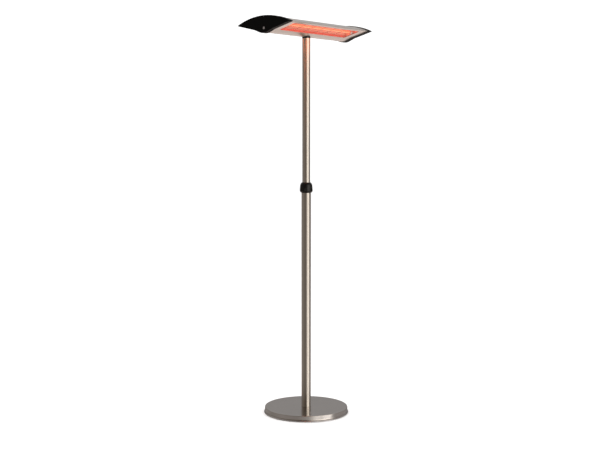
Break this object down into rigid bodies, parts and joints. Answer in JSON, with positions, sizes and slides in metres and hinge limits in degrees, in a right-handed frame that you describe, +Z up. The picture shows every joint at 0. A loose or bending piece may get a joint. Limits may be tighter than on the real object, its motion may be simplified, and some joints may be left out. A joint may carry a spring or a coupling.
{
  "type": "outdoor heater",
  "caption": "Free-standing electric outdoor heater: round weighted base, telescopic steel pole with a twist lock, and a gull-wing head with a glowing lamp under each wing.",
  "frame": {"origin": "on the floor, under the middle of the pole", "axes": "+Z up; the head's long axis lies along X with the push button on the -X end cap; -Y is the front wing, +Y the rear wing; the cable entry faces away, halfway between +X and +Y"},
  "size_m": [0.652, 0.45, 2.072],
  "materials": {
    "pole_steel": "brushed along the tube",
    "base_steel": "brushed, satin",
    "cast_weight": "black primer",
    "zinc_steel": "zinc plated",
    "frame_steel": "galvanised sheet",
    "body_aluminium": "satin silver",
    "reflector_aluminium": "mirror rolled",
    "cap_plastic": "satin black, fine grain",
    "grip_plastic": "satin black",
    "inner_plastic": "natural nylon, dark",
    "rubber": "matt",
    "quartz": "amber coated quartz",
    "glow_wire": "glowing tungsten coil",
    "ceramic": "unglazed",
    "guard_wire": "polished wire",
    "terminal_plastic": "moulded",
    "lead_insulation": "silicone",
    "button_plastic": "grey, smooth",
    "switch_plastic": "moulded"
  },
  "bodies": {
    "stand": {"base_cover": "base_steel", "base_weight": "cast_weight", "base_plate": "frame_steel", "base_plate_screws": "zinc_steel", "rubber_feet": "rubber", "foot_screws": "zinc_steel", "base_bolt": "zinc_steel", "base_washer": "zinc_steel", "pole_socket": "zinc_steel", "lower_tube": "pole_steel", "cable_gland": "grip_plastic", "gland_nut": "inner_plastic", "liner_sleeve": "inner_plastic", "collar_body": "inner_plastic", "collet": "inner_plastic"},
    "grip": {"lock_ring": "grip_plastic"},
    "carriage": {"guide_bush": "inner_plastic"},
    "mast": {"bush_rings": "inner_plastic", "upper_tube": "pole_steel", "head_ring": "grip_plastic", "head_spigot": "zinc_steel", "spigot_screw": "zinc_steel", "mount_bolts": "zinc_steel", "chassis_rail": "frame_steel", "rail_screws": "zinc_steel", "tray": "body_aluminium", "tray_screws": "zinc_steel", "hood": "body_aluminium", "hood_posts": "zinc_steel", "heat_shield": "frame_steel", "end_plate_left": "body_aluminium", "end_plate_right": "body_aluminium", "cap_gasket_left": "rubber", "cap_gasket_right": "rubber", "end_cap_left": "cap_plastic", "end_cap_right": "cap_plastic", "end_cap_screws": "zinc_steel", "reflector_front": "reflector_aluminium", "reflector_rear": "reflector_aluminium", "reflector_clips": "frame_steel", "lamp_tube_front": "quartz", "lamp_tube_rear": "quartz", "filament_front": "glow_wire", "filament_rear": "glow_wire", "lamp_caps_front": "ceramic", "lamp_caps_rear": "ceramic", "lamp_brackets": "frame_steel", "guard_front": "guard_wire", "guard_rear": "guard_wire", "terminal_block": "terminal_plastic", "tip_over_switch": "switch_plastic", "thermal_cutout": "zinc_steel", "wiring": "lead_insulation", "switch_body": "switch_plastic", "button_bezel": "cap_plastic"},
    "button": {"push_button": "button_plastic"}
  },
  "joints": [
    {"name": "height_slide", "type": "slide", "parent": "stand", "child": "carriage", "axis": [0, 0, 1], "range_m": [-0.5, 0]},
    {"name": "head_turn", "type": "hinge", "parent": "carriage", "child": "mast", "pos_m": [0, 0, 1], "axis": [0, 0, 1], "range_deg": [-175, 175]},
    {"name": "lock_twist", "type": "hinge", "parent": "stand", "child": "grip", "pos_m": [0, 0, 1.203], "axis": [0, 0, 1], "range_deg": [0, 90]},
    {"name": "button_press", "type": "slide", "parent": "mast", "child": "button", "axis": [1, 0, 0], "range_m": [0, 0.0025], "stiffness_N_per_m": 600}
  ]
}
